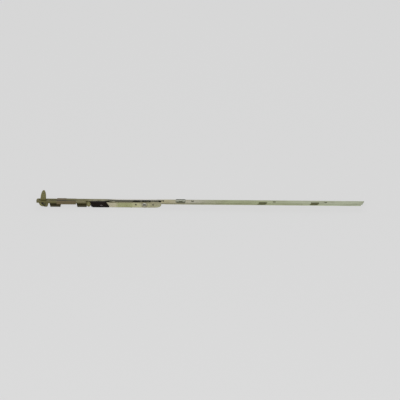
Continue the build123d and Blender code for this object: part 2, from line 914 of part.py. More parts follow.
def saddle():
    """Bent sheet over the faceplate, hooked below both edges of the left rod."""
    cap_right = saddle_left + saddle_cap_length
    hook_left = pocket_right + saddle_hook_gap
    hook_top = left_rod_bottom - side_gap
    hook_bottom = hook_top - saddle_wall
    hook_inner = tine_inner + side_gap
    reach = half_width + seat_gap
    outside = reach + saddle_wall
    sheet = slab(saddle_left, cap_right, -outside, outside, plate_thick, plate_thick + saddle_wall)
    for side in (-1, 1):
        y0, y1 = sorted((side * reach, side * outside))
        sheet += slab(saddle_left, saddle_right, y0, y1, hook_bottom, plate_thick)
        y0, y1 = sorted((side * hook_inner, side * reach))
        sheet += slab(hook_left, saddle_right, y0, y1, hook_bottom, hook_top)
    lip_top = plate_thick + saddle_wall
    return sheet + slab(cap_right, saddle_right, -outside, -half_width + saddle_lip, plate_thick, lip_top)


# Lever housing and lever
def housing_outline():
    """X and Z points of the housing, with a slanted right end and a cut lower left corner."""
    return [
        (housing_left, plate_thick),
        (housing_right - housing_slant - housing_land, plate_thick),
        (housing_right - housing_land, housing_bottom),
        (housing_left + housing_cut, housing_bottom),
        (housing_left + housing_knee, housing_bottom + housing_knee_height),
        (housing_left, housing_bottom + housing_cut_height),
    ]


def lever_housing():
    """Moulded housing in the faceplate's notch, around the rod's front and bottom."""
    body = side_plate(housing_outline(), -housing_front, half_groove)
    body = fillet(body.faces().sort_by(Axis.Y)[0].edges(), edge_break)
    inner = -rod_half - side_gap
    x0 = housing_left - past
    x1 = housing_right + past
    body -= slab(x0, x1, inner, half_groove + past, block_top, 0)
    notch_edge = -half_width + housing_notch_depth - seat_gap
    body -= slab(x0, x1, notch_edge, half_groove + past, -seat_gap, plate_thick + past)
    rib_body, bore = rib(housing_rib_left, housing_rib_right, rivet_places()[2])
    body += rib_body
    body -= bore
    body -= slab(
        x0,
        lever_pin_x + lever_pocket_past,
        -housing_front + housing_skin,
        inner,
        lever_bottom - side_gap,
        lever_top + side_gap,
    )
    body -= post(lever_pin_x, lever_y, lever_top, spring_pocket, spring_pocket)
    body -= post(lever_pin_x, lever_y, lever_pin_bottom, plate_thick + past, lever_pin_radius)
    body -= post(screw_places[0], 0, case_bottom, past, screw_hole_radius + side_gap)
    return body - housing_panel()


def housing_panel():
    """Shallow panel sunk into the housing's front, crossed by two ribs."""
    left = lever_pin_x + panel_past_pin
    right = housing_right - housing_slant - panel_margin
    front = -housing_front - past
    panel_bottom = case_bottom + panel_lift
    panel = slab(left, right, front, -housing_front + panel_depth, panel_bottom, panel_top)
    for share in (1 / 3, 2 / 3):
        x = left + share * (right - left)
        panel -= slab(x - panel_rib / 2, x + panel_rib / 2, front, 0, case_bottom, 0)
    return panel


def lever_turned(shape):
    """Set the lever out from the housing by its rest angle."""
    return shape.rotate(Axis((lever_pin_x, lever_y, 0), (0, 0, 1)), degrees(lever_rest))


def blocking_lever():
    """Flat lever with an eye on its pin and an oval pad at its free end."""
    y0 = lever_y - lever_thick / 2
    y1 = lever_y + lever_thick / 2
    pad_x = lever_pin_x - lever_length + pad_half
    arm = slab(pad_x + pad_half / 2, lever_pin_x, y0, y1, lever_bottom, lever_top)
    pad = extrude(Ellipse(pad_height, pad_half), lever_thick / 2, both=True)
    pad -= extrude(Circle(pad_hole_radius), lever_thick, both=True)
    lever = arm + Pos(pad_x, lever_y, pad_z) * Rot(90, 0, 0) * Rot(0, 0, 90) * pad
    lever += post(lever_pin_x, lever_y, lever_bottom, lever_top, lever_eye_radius)
    lever -= post(lever_pin_x, lever_y, lever_bottom - past, 0, lever_pin_radius + turn_gap)
    return lever_turned(lever)


def lever_pin():
    return post(lever_pin_x, lever_y, lever_pin_bottom, lever_pin_top, lever_pin_radius)


def lever_spring():
    """Small coil spring around the lever's pin."""
    coil = lever_pin_radius + spring_clearance + spring_wire
    helix = Helix(spring_pitch, spring_pitch * spring_turns, coil)
    path = Pos(lever_pin_x, lever_y, spring_bottom + spring_wire) * helix
    section = Plane(origin=path @ 0, z_dir=path % 0) * Circle(spring_wire)
    return sweep(section, path)


# Cam
def cam_base():
    """Round-ended plate that slides on the faceplate below the roller."""
    z0 = plate_thick + side_gap
    outline = Pos(cam_x, 0, z0) * RectangleRounded(cam_plate_length, cam_plate_width, cam_plate_corner)
    plate = extrude(outline, cam_plate_thick)
    plate = chamfer(plate.faces().sort_by(Axis.Z)[-1].edges(), edge_break)
    return plate - post(cam_x, 0, z0 - past, z0 + cam_plate_thick + past, cam_stud_radius)


def roller_limits():
    bottom = plate_thick + side_gap + cam_plate_thick + side_gap
    return bottom, bottom + cam_roller_height


def cam_stud():
    """Stud riveted into the right rod, with a head that keeps the roller on."""
    top = roller_limits()[1]
    stud = post(cam_x, 0, web_bottom, top, cam_stud_radius)
    return stud + post(cam_x, 0, top - cam_head_height + turn_gap, top, cam_stud_radius + cam_head)


def cam_roller():
    """Roller that turns on the stud."""
    bottom, top = roller_limits()
    roller = post(cam_x, 0, bottom, top, cam_roller_radius)
    roller = chamfer(roller.edges().group_by(Axis.Z)[-1], cam_roller_chamfer)
    roller -= post(cam_x, 0, bottom - past, top + past, cam_stud_radius + turn_gap)
    seat = top - cam_head_height - turn_gap
    return roller - post(cam_x, 0, seat, top + past, cam_stud_radius + cam_head + turn_gap)


# Rod clips
def rod_clip(back):
    """Moulded clip that hooks around the faceplate's front edge."""
    x = right_end - back
    half = clip_length / 2
    top = plate_thick + clip_wall
    bottom = -seat_gap - clip_wall
    outline = [
        (x - half - clip_lean, bottom),
        (x + half - clip_lean, bottom),
        (x + half + clip_lean, top),
        (x - half + clip_lean, top),
    ]
    clip = side_plate(outline, -half_width - clip_wall, -half_width + clip_cover)
    clip -= slab(x - clip_length, x + clip_length, -half_width, 0, -seat_gap, plate_thick)
    clip -= slab(x - clip_length, x + clip_length, -rod_half - side_gap, 0, bottom - past, 0)
    front = -half_width - clip_wall
    for share in (-0.5, 0, 0.5):
        rib_x = x + share * half
        clip += slab(rib_x, rib_x + clip_rib, front - clip_rib_height, front, bottom, plate_thick)
    return clip


# Build and write every piece
pieces = {
    "faceplate": faceplate(),
    "drive_rod_left": left_rod(),
    "drive_rod_right": right_rod(),
    "end_coupler": end_coupler(),
    "coupler_rivets": coupler_rivet_group(),
    "rack": rack(),
    "rack_rivets": rack_rivets(),
    "guide_studs": [guide_stud(left_stud_x), guide_stud(right_stud_x)],
    "follower": follower(),
    "case_front": case_shell(-1),
    "case_back": case_shell(1),
    "hub_ring_front": hub_ring(-1),
    "hub_ring_back": hub_ring(1),
    "screw_sleeves": screw_sleeves(),
    "case_rivets": case_rivets(),
    "tongue": tongue(),
    "head_bracket": head_bracket(),
    "pivot_pin": pivot_pin(),
    "drive_pin": drive_pin(),
    "tongue_pocket": tongue_pocket(),
    "guide_block": guide_block(),
    "block_rivets": block_rivets(),
    "saddle": saddle(),
    "lever_housing": lever_housing(),
    "blocking_lever": blocking_lever(),
    "lever_pin": lever_pin(),
    "lever_spring": lever_spring(),
    "cam_base": cam_base(),
    "cam_stud": cam_stud(),
    "cam_roller": cam_roller(),
    "rod_clip_left": rod_clip(clips_back[0]),
    "rod_clip_right": rod_clip(clips_back[1]),
}

for name, shape in pieces.items():
    if isinstance(shape, list):
        shape = Compound(children=shape)
    export_step(shape, f"parts/{name}.step")
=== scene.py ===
"""Looks of the window espagnolette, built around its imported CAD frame."""
from math import cos, radians, sin

import bpy
from mathutils import Matrix, Vector


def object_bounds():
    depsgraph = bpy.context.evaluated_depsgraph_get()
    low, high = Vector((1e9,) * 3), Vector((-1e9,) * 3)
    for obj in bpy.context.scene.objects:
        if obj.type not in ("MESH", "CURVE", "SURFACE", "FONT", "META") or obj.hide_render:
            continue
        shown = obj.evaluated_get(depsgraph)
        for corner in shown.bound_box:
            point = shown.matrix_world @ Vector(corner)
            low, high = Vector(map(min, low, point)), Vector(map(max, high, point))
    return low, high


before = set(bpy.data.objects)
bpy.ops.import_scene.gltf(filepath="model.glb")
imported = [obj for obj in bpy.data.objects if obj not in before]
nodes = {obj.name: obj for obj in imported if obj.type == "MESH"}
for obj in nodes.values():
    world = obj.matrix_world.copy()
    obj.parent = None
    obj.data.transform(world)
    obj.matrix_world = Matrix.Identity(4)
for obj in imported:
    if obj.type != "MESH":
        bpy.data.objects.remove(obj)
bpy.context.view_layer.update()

mm = 0.001

# Camera and stage
photo_side = 400
metres_per_pixel = 2.5 * mm
camera_elevation = radians(27.5)
camera_distance = 2.6
camera_roll = 0.0085
sensor_width = 36.0
origin_column = 200.5
origin_row = 202.1
background_grey = 0.712
shadow_share = 0.16
stage_size = 12.0
world_strength = 0.55
floor_grey = 0.72
near_clip = 0.05
far_clip = 60

# Broken edges of the metal pieces
fine_edge = 0.18 * mm
sheet_edge = 0.25 * mm
weld_reach = 0.002 * mm
sharp_edge = radians(35)

# Samples of the shaders that look around a point
hollow_samples = 6
edge_samples = 4

# Waves of the noises per metre along each axis, first for metal, then for plastic
cloud_waves = (28, 90, 90)
streak_waves = (22, 700, 700)
speck_waves = (330, 330, 330)
worn_waves = (140, 140, 140)
blotch_waves = (60, 200, 200)
grain_waves = (1400, 1400, 1400)
scratch_waves = (60, 2600, 2600)
mottle_waves = (60, 60, 60)
dust_waves = (500, 500, 500)
gloss_waves = (50, 50, 50)
texture_waves = (900, 900, 900)
patch_roughness = 0.6

# Wear and grain of metal, then of plastic
# Grime colour, also the colour of the painted shade in recesses
grime_and_shade = (0.05, 0.045, 0.03)
metal_shadow = (0.55, 0.52, 0.45)
streak_share = 0.3
speck_share = 0.35
worn_share = 0.5
worn_gain = 1.45
worn_lift = 0.03
worn_edge = 0.4 * mm
metal_grain = 0.02 * mm
smoother_metal = 0.08
rougher_metal = 0.14
dull_rub = (0.1, 0.1, 0.09)
mottle_gain = 1.6
rubbed_share = 0.5
dust_share = 0.4
moulded_edge = 0.5 * mm
moulded_grain = 0.03 * mm
smoother_plastic = 0.06
rougher_plastic = 0.1


def make_camera():
    """Camera at the photograph's angle: from the front, above, rolled a little."""
    toward = Vector((0, -cos(camera_elevation), sin(camera_elevation)))
    up = Vector((0, sin(camera_elevation), cos(camera_elevation)))
    across = (photo_side / 2 - origin_column) * metres_per_pixel
    lift = (origin_row - photo_side / 2) * metres_per_pixel
    target = Vector((across, 0, 0)) + up * lift
    data = bpy.data.cameras.new("camera")
    data.sensor_width = sensor_width
    data.lens = sensor_width * camera_distance / (photo_side * metres_per_pixel)
    data.clip_start = near_clip
    data.clip_end = far_clip
    camera = bpy.data.objects.new("camera", data)
    facing = Matrix((Vector((1, 0, 0)), up, toward)).transposed()
    turned = facing @ Matrix.Rotation(camera_roll, 3, "Z")
    camera.matrix_world = Matrix.Translation(target + toward * camera_distance) @ turned.to_4x4()
    bpy.context.scene.collection.objects.link(camera)
    bpy.context.scene.camera = camera


def make_lamp(name, place, size, watts):
    """Soft rectangular lamp at a place in metres, turned to the object's middle."""
    data = bpy.data.lights.new(name, "AREA")
    data.shape = "RECTANGLE"
    data.size, data.size_y = size
    data.energy = watts
    lamp = bpy.data.objects.new(name, data)
    lamp.location = place
    lamp.rotation_euler = (-Vector(place)).to_track_quat("-Z", "Y").to_euler()
    bpy.context.scene.collection.objects.link(lamp)


def seen_share(tree):
    """One where the camera, a reflection or a refraction looks, nought for light itself."""
    path = tree.nodes.new("ShaderNodeLightPath")
    first = tree.nodes.new("ShaderNodeMath")
    first.operation = "MAXIMUM"
    tree.links.new(path.outputs["Is Camera Ray"], first.inputs[0])
    tree.links.new(path.outputs["Is Glossy Ray"], first.inputs[1])
    both = tree.nodes.new("ShaderNodeMath")
    both.operation = "MAXIMUM"
    tree.links.new(first.outputs[0], both.inputs[0])
    tree.links.new(path.outputs["Is Transmission Ray"], both.inputs[1])
    return both.outputs[0]


def make_world():
    """Even studio light, with the pale grey of the background behind everything."""
    world = bpy.data.worlds.new("studio")
    world.use_nodes = True
    tree = world.node_tree
    tree.nodes.clear()
    light = tree.nodes.new("ShaderNodeBackground")
    light.inputs["Color"].default_value = (1.0, 1.0, 1.0, 1)
    light.inputs["Strength"].default_value = world_strength
    seen = tree.nodes.new("ShaderNodeBackground")
    seen.inputs["Color"].default_value = (background_grey, background_grey, background_grey, 1)
    seen.inputs["Strength"].default_value = 1.0
    mix = tree.nodes.new("ShaderNodeMixShader")
    tree.links.new(seen_share(tree), mix.inputs["Fac"])
    tree.links.new(light.outputs[0], mix.inputs[1])
    tree.links.new(seen.outputs[0], mix.inputs[2])
    output = tree.nodes.new("ShaderNodeOutputWorld")
    tree.links.new(mix.outputs[0], output.inputs["Surface"])
    bpy.context.scene.world = world


def make_floor():
    """Pale floor under the lowest point, which keeps a faint share of the shadow."""
    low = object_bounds()[0][2]
    half = stage_size / 2
    mesh = bpy.data.meshes.new("floor")
    corners = [(-half, -half, low), (half, -half, low), (half, half, low), (-half, half, low)]
    mesh.from_pydata(corners, [], [(0, 1, 2, 3)])
    floor = bpy.data.objects.new("floor", mesh)
    bpy.context.scene.collection.objects.link(floor)
    material = bpy.data.materials.new("floor")
    material.use_nodes = True
    tree = material.node_tree
    tree.nodes.clear()
    diffuse = tree.nodes.new("ShaderNodeBsdfDiffuse")
    diffuse.inputs["Color"].default_value = (floor_grey, floor_grey, floor_grey, 1)
    glow = tree.nodes.new("ShaderNodeEmission")
    glow.inputs["Color"].default_value = (background_grey, background_grey, background_grey, 1)
    share = tree.nodes.new("ShaderNodeMath")
    share.operation = "MULTIPLY"
    share.inputs[1].default_value = 1 - shadow_share
    tree.links.new(seen_share(tree), share.inputs[0])
    mix = tree.nodes.new("ShaderNodeMixShader")
    tree.links.new(share.outputs[0], mix.inputs["Fac"])
    tree.links.new(diffuse.outputs[0], mix.inputs[1])
    tree.links.new(glow.outputs[0], mix.inputs[2])
    output = tree.nodes.new("ShaderNodeOutputMaterial")
    tree.links.new(mix.outputs[0], output.inputs["Surface"])
    mesh.materials.append(material)


class Finish:
    """One procedural material under construction, with short calls for its nodes."""

    def __init__(self, name):
        self.material = bpy.data.materials.new(name)
        self.material.use_nodes = True
        self.tree = self.material.node_tree
        self.shader = self.tree.nodes["Principled BSDF"]
        self.place = self.tree.nodes.new("ShaderNodeTexCoord").outputs["Object"]

    def link(self, source, socket):
        """Joins an output to an input, or sets a plain value."""
        if isinstance(source, bpy.types.NodeSocket):
            self.tree.links.new(source, socket)
        else:
            socket.default_value = source

    def stretched(self, stretch, shift=(0, 0, 0)):
        """Object place in metres, multiplied along each axis."""
        node = self.tree.nodes.new("ShaderNodeMapping")
        node.inputs["Scale"].default_value = stretch
        node.inputs["Location"].default_value = shift
        self.tree.links.new(self.place, node.inputs["Vector"])
        return node.outputs[0]

    def noise(self, stretch, detail=4.0, roughness=0.55, shift=(0, 0, 0)):
        """Noise with the given number of waves per metre along each axis."""
        node = self.tree.nodes.new("ShaderNodeTexNoise")
        node.inputs["Scale"].default_value = 1.0
        node.inputs["Detail"].default_value = detail
        node.inputs["Roughness"].default_value = roughness
        self.tree.links.new(self.stretched(stretch, shift), node.inputs["Vector"])
        return node.outputs["Fac"]

    def place_on(self, axis):
        """Place along X, Y or Z, in metres."""
        node = self.tree.nodes.new("ShaderNodeSeparateXYZ")
        self.tree.links.new(self.place, node.inputs[0])
        return node.outputs[axis]

    def upright(self):
        """One on walls, nought on level faces."""
        flat = self.tree.nodes.new("ShaderNodeNewGeometry")
        node = self.tree.nodes.new("ShaderNodeSeparateXYZ")
        self.tree.links.new(flat.outputs["True Normal"], node.inputs[0])
        steepness = self.maths("ABSOLUTE", node.outputs["Z"], 0.0)
        return self.span(steepness, low=0.6, high=0.4)

    def times(self, a, b):
        """Product of two values or outputs."""
        return self.maths("MULTIPLY", a, b)

    def between(self, axis, ends, soft):
        """One between two places in millimetres, with soft ends."""
        low, high = ends
        source = self.place_on(axis)
        after = self.span(source, (low - soft) * mm, (low + soft) * mm)
        before = self.span(source, (high + soft) * mm, (high - soft) * mm)
        return self.times(after, before)

    def edge_between(self, axis, ends):
        """Nought at the first place and one at the second, in millimetres."""
        return self.span(self.place_on(axis), ends[0] * mm, ends[1] * mm)

    def paint_rectangle(self, along, across, soft, share, shade=None):
        """Paints a soft-edged rectangle seen from above, near-black if no shade is given."""
        inside = self.times(self.between("X", along, soft[0]), self.between("Y", across, soft[1]))
        self.repaint(self.times(inside, share), shade or near_black)

    def line(self, start, facing):
        """Distance in metres from a line in the X and Z plane, given by a point and a normal."""
        offset = (start[0] * facing[0] + start[1] * facing[1]) * mm
        x = self.times(self.place_on("X"), facing[0])
        z = self.times(self.place_on("Z"), facing[1])
        return self.maths("SUBTRACT", self.maths("ADD", x, z), offset)

    def repaint(self, share, shade):
        """Lays one more colour over the base colour."""
        socket = self.shader.inputs["Base Color"]
        painted = socket.links[0].from_socket
        self.link(self.blend(share, painted, shade), socket)

    def span(self, source, low, high, to_low=0.0, to_high=1.0):
        """Maps a range of values to another, held at both ends."""
        node = self.tree.nodes.new("ShaderNodeMapRange")
        node.inputs["From Min"].default_value = low
        node.inputs["From Max"].default_value = high
        node.inputs["To Min"].default_value = to_low
        node.inputs["To Max"].default_value = to_high
        self.tree.links.new(source, node.inputs["Value"])
        return node.outputs[0]

    def maths(self, operation, a, b):
        """One sum of two values or outputs."""
        node = self.tree.nodes.new("ShaderNodeMath")
        node.operation = operation
        self.link(a, node.inputs[0])
        self.link(b, node.inputs[1])
        return node.outputs[0]

    def patches(self, waves, low, high, detail=4.0, shift=(0, 0, 0), to_low=0.0, to_high=1.0):
        """Noise spread between two thresholds."""
        return self.span(self.noise(waves, detail, patch_roughness, shift), low, high, to_low, to_high)

    def dull(self, waves, low, high):
        """Roughness that wanders between two values."""
        blotch = self.patches(waves, low=0.3, high=0.7, shift=(5, 2, 0), to_low=low, to_high=high)
        self.link(blotch, self.shader.inputs["Roughness"])

    def blend(self, share, a, b, kind="MIX"):
        """Colour a, going to colour b where the share is one."""
        node = self.tree.nodes.new("ShaderNodeMix")
        node.data_type = "RGBA"
        node.blend_type = kind
        self.link(share, node.inputs[0])
        self.link(colour(a), node.inputs[6])
        self.link(colour(b), node.inputs[7])
        return node.outputs[2]

    def ramp(self, source, stops):
        """Colours along a value from nought to one."""
        node = self.tree.nodes.new("ShaderNodeValToRGB")
        points = node.color_ramp.elements
        while len(points) < len(stops):
            points.new(0.5)
        for point, (position, shade) in zip(points, stops):
            point.position = position
            point.color = colour(shade)
        self.tree.links.new(source, node.inputs[0])
        return node.outputs["Color"]

    def along_colours(self, stops):
        """Colour that changes along the length, from stops in millimetres."""
        first = stops[0][0]
        last = stops[-1][0]
        share = self.span(self.place_on("X"), first * mm, last * mm)
        return self.ramp(share, [((x - first) / (last - first), shade) for x, shade in stops])

    def hollows(self, reach):
        """One deep in a recess, nought in the open."""
        node = self.tree.nodes.new("ShaderNodeAmbientOcclusion")
        node.samples = hollow_samples
        node.inputs["Distance"].default_value = reach
        return self.span(node.outputs["AO"], low=0.15, high=0.62, to_low=0.9, to_high=0.0)

    def edges(self, radius):
        """One near an outer edge, nought on flat faces."""
        bevel = self.tree.nodes.new("ShaderNodeBevel")
        bevel.samples = edge_samples
        bevel.inputs["Radius"].default_value = radius
        flat = self.tree.nodes.new("ShaderNodeNewGeometry")
        dot = self.tree.nodes.new("ShaderNodeVectorMath")
        dot.operation = "DOT_PRODUCT"
        self.tree.links.new(bevel.outputs[0], dot.inputs[0])
        self.tree.links.new(flat.outputs["Normal"], dot.inputs[1])
        return self.span(dot.outputs["Value"], low=0.995, high=0.8)

    def rounded(self, radius):
        """Normal with its edges rounded."""
        bevel = self.tree.nodes.new("ShaderNodeBevel")
        bevel.samples = edge_samples
        bevel.inputs["Radius"].default_value = radius
        return bevel.outputs[0]

    def bump(self, height, depth, normal, strength):
        """A normal disturbed further by a height, at a depth in metres."""
        node = self.tree.nodes.new("ShaderNodeBump")
        node.inputs["Strength"].default_value = strength
        node.inputs["Distance"].default_value = depth
        self.tree.links.new(height, node.inputs["Height"])
        self.tree.links.new(normal, node.inputs["Normal"])
        return node.outputs[0]


def colour(value):
    """An RGB triple as the RGBA that a socket takes; outputs pass through."""
    if isinstance(value, tuple) and len(value) == 3:
        return value + (1.0,)
    return value


def lighter(tone):
    """The worn shade of a colour, or of each stop of colours along the length."""
    if isinstance(tone, list):
        return [(x, lighter(shade)) for x, shade in tone]
    return tuple(min(1.0, worn_gain * channel + worn_lift) for channel in tone)


def metal(name, tone, roughness=0.42, metallic=0.8, specular=0.5, cloud=0.45, shade_reach=4 * mm):
    """Plated metal with cloudy tint, streaks, specks, painted shade in recesses and bright worn edges."""
    f = Finish(name)
    light = lighter(tone)
    base = tone
    if isinstance(tone, list):
        base = f.along_colours(tone)
        light = f.along_colours(light)
    clouds = f.patches(cloud_waves, low=0.42, high=0.66, detail=5.0)
    shade = f.blend(f.times(clouds, cloud), base, metal_shadow, "MULTIPLY")
    streaks = f.patches(streak_waves, low=0.48, high=0.72, detail=3.0, shift=(0, 3, 1))
    shade = f.blend(f.times(streaks, streak_share), shade, light)
    specks = f.patches(speck_waves, low=0.6, high=0.72, detail=3.0, shift=(3, 1, 7))
    shade = f.blend(f.times(specks, speck_share), shade, grime_and_shade)
    worn = f.patches(worn_waves, low=0.4, high=0.62, shift=(1, 9, 2), to_low=0.2)
    rims = f.times(f.edges(worn_edge), worn)
    shade = f.blend(f.times(rims, worn_share), shade, light)
    # Painted shade: recesses darkened
    shade = f.blend(f.hollows(shade_reach), shade, grime_and_shade)
    f.link(shade, f.shader.inputs["Base Color"])
    f.shader.inputs["Metallic"].default_value = metallic
    f.shader.inputs["Specular IOR Level"].default_value = specular
    f.dull(blotch_waves, roughness - smoother_metal, roughness + rougher_metal)
    fine = f.bump(f.noise(grain_waves, detail=2.0), metal_grain, f.rounded(worn_edge), strength=0.5)
    scratch = f.noise(scratch_waves, detail=2.0, roughness=0.5, shift=(1, 4, 2))
    f.link(f.bump(scratch, metal_grain, fine, strength=0.4), f.shader.inputs["Normal"])
    return f


def plastic(name, tone, roughness, specular, light=dull_rub):
    """Moulded plastic or paint: even colour, faint mottling, rubbed edges and a fine texture."""
    f = Finish(name)
    mottle = f.patches(mottle_waves, low=0.4, high=0.65, detail=5.0)
    shade = f.blend(mottle, tone, tuple(mottle_gain * channel for channel in tone))
    rims = f.times(f.edges(moulded_edge), rubbed_share)
    shade = f.blend(rims, shade, light)
    dust = f.patches(dust_waves, low=0.64, high=0.78, detail=3.0, shift=(2, 2, 5))
    shade = f.blend(f.times(dust, dust_share), shade, light)
    f.link(shade, f.shader.inputs["Base Color"])
    f.shader.inputs["Specular IOR Level"].default_value = specular
    f.dull(gloss_waves, roughness - smoother_plastic, roughness + rougher_plastic)
    texture = f.noise(texture_waves, detail=3.0)
    fine = f.bump(texture, moulded_grain, f.rounded(moulded_edge), strength=0.5)
    f.link(fine, f.shader.inputs["Normal"])
    return f


def assign(finish, *names):
    """Gives one material to CAD nodes."""
    for name in names:
        slots = nodes[name].data.materials
        slots.clear()
        slots.append(finish)


def break_edges(name, width):
    """Rounds a CAD node's sharp edges a little, in its own faces."""
    piece = nodes[name]
    weld = piece.modifiers.new("weld", "WELD")
    weld.merge_threshold = weld_reach
    bevel = piece.modifiers.new("bevel", "BEVEL")
    bevel.width = width
    bevel.segments = 2
    bevel.limit_method = "ANGLE"
    bevel.angle_limit = sharp_edge
    bevel.use_clamp_overlap = True
    bevel.harden_normals = True


# Colours of the pieces, their stains, their rubbed places and their painted light and shade
olive_brown = (0.165, 0.150, 0.066)
dark_olive = (0.085, 0.08, 0.042)
painted_back_highlight = (0.60, 0.58, 0.53)
# Near-black, used mostly for painted shade in gaps, slots, holes and recesses
near_black = (0.012, 0.011, 0.007)
pale_yellow = (0.44, 0.405, 0.25)
grey_beige = (0.395, 0.38, 0.30)
leaf_olive = (0.335, 0.36, 0.215)
pale_green = (0.40, 0.425, 0.30)
grey_green = (0.41, 0.44, 0.32)
rubbed_beige = (0.27, 0.255, 0.165)
dull_beige = (0.25, 0.235, 0.15)
rod_beige = (0.37, 0.35, 0.23)
rod_olive = (0.40, 0.42, 0.26)
rod_green = (0.52, 0.56, 0.36)
rod_end_green = (0.50, 0.55, 0.40)
case_beige = (0.54, 0.50, 0.36)
case_cream = (0.58, 0.545, 0.385)
case_green = (0.43, 0.44, 0.235)
case_yellow = (0.55, 0.54, 0.33)
case_straw = (0.55, 0.53, 0.34)
nose_dull = (0.43, 0.415, 0.265)
nose_tip = (0.43, 0.42, 0.275)
lit_case_wall = (0.28, 0.26, 0.155)
lit_block_wall = (0.23, 0.21, 0.125)
lit_nose_wall = (0.42, 0.39, 0.25)
hole_shade = (0.03, 0.03, 0.018)
tongue_olive = (0.215, 0.20, 0.085)
lever_olive = (0.215, 0.2, 0.088)
hub_bright = (0.52, 0.51, 0.42)
ring_tone = (0.40, 0.375, 0.26)
sleeve_tone = (0.38, 0.36, 0.25)
gear_grey = (0.3, 0.29, 0.22)
rivet_brown = (0.17, 0.155, 0.085)
oiled_pin = (0.022, 0.019, 0.013)
cam_dark = (0.075, 0.08, 0.04)
cam_highlight_pale = (0.56, 0.57, 0.46)
saddle_brown = (0.15, 0.115, 0.058)
saddle_lit_wall_brown = (0.18, 0.145, 0.08)
housing_black = (0.011, 0.008, 0.0065)
housing_rubbed = (0.016, 0.013, 0.01)
housing_low = (0.003, 0.002, 0.002)
glint_grey = (0.3, 0.26, 0.25)
block_black = (0.02, 0.0165, 0.005)
block_rubbed = (0.07, 0.062, 0.025)
block_low_pale = (0.055, 0.048, 0.026)
clip_olive = (0.095, 0.1, 0.042)

# Colours along the object from left to right, with their places in millimetres
faceplate_tone = [
    (-410, olive_brown),
    (-286, olive_brown),
    (-264, rubbed_beige),
    (-240, dull_beige),
    (-228, dark_olive),
    (-104, dark_olive),
    (-97, pale_yellow),
    (-20, grey_beige),
    (60, leaf_olive),
    (150, leaf_olive),
    (260, pale_green),
    (405, grey_green),
]
# The near-black stretch under the case is painted shade, for the dark seen through the faceplate's openings
rod_tone = [
    (-410, olive_brown),
    (-243, olive_brown),
    (-236, near_black),
    (-101, near_black),
    (-96, rod_beige),
    (80, rod_olive),
    (260, rod_green),
    (405, rod_end_green),
]
case_tone = [
    (-236, case_beige),
    (-214, case_cream),
    (-204, case_green),
    (-175, case_green),
    (-165, case_yellow),
    (-140, case_straw),
    (-121, nose_dull),
    (-97, nose_tip),
]

# Spans along X on the faceplate, in millimetres
beside_case = (-225, -100)
beside_blocks = (-322, -276)
beside_housing = (-270, -240)
beside_nose = (-124, -98)
thin_dark_band = (-222, -104)
thick_dark_band = (-205, -174)
slotted = (-250, -99)
shaded_openings = ((-240, -227), (-169, -151), (-141, -126), (-105, -99))
under_cam = (-60, -39)
shadow_line = (-350, -310)
screw_holes = (-20.0, 184.5, 313.0)
hole_shade_reach = 2.9

# Spans along Y on the faceplate, in millimetres
back_strip = (1.5, 4.5)
front_wall = (-7.5, -7.8)
thin_dark_depth = (-7.2, 1.5)
thick_dark_depth = (-1.8, 2.6)
slot_depth = (-6.8, 7)
opening_front = (-7.7, -2.6)
before_cam = (-9, -6.6)
behind_cam = (4.0, 9.0)
shadow_line_depth = (-3.8, -1.2)

# Painted shade in the tongue's fork, a straight band about a place in the X and Z plane
fork_middle = (-394.0, -8.0)
fork_along = (0.63, -0.777)
fork_across = (0.777, 0.63)
fork_shade_half_width = (2.6, 1.4)
fork_shade_half_length = (7.0, 5.0)

# Bands across other pieces, along Y or Z in millimetres
teeth_band = (-2.8, 2.8)
base_highlight_band = (-4.5, 1.2)
roller_highlight_band = (-5.4, -0.9)
saddle_shadow_band = (-6.0, -1.5)
housing_low_edge = (-9.0, -11.0)
block_low_edge = (-8.0, -9.5)
glint_along = (-250, -243)
glint_up = (-7.6, -5.8)
glint_waves = (400, 400, 900)

# Shares of the colour of a stain or of painted light and shade where it is thickest
strong = 0.8
heavy = 0.85


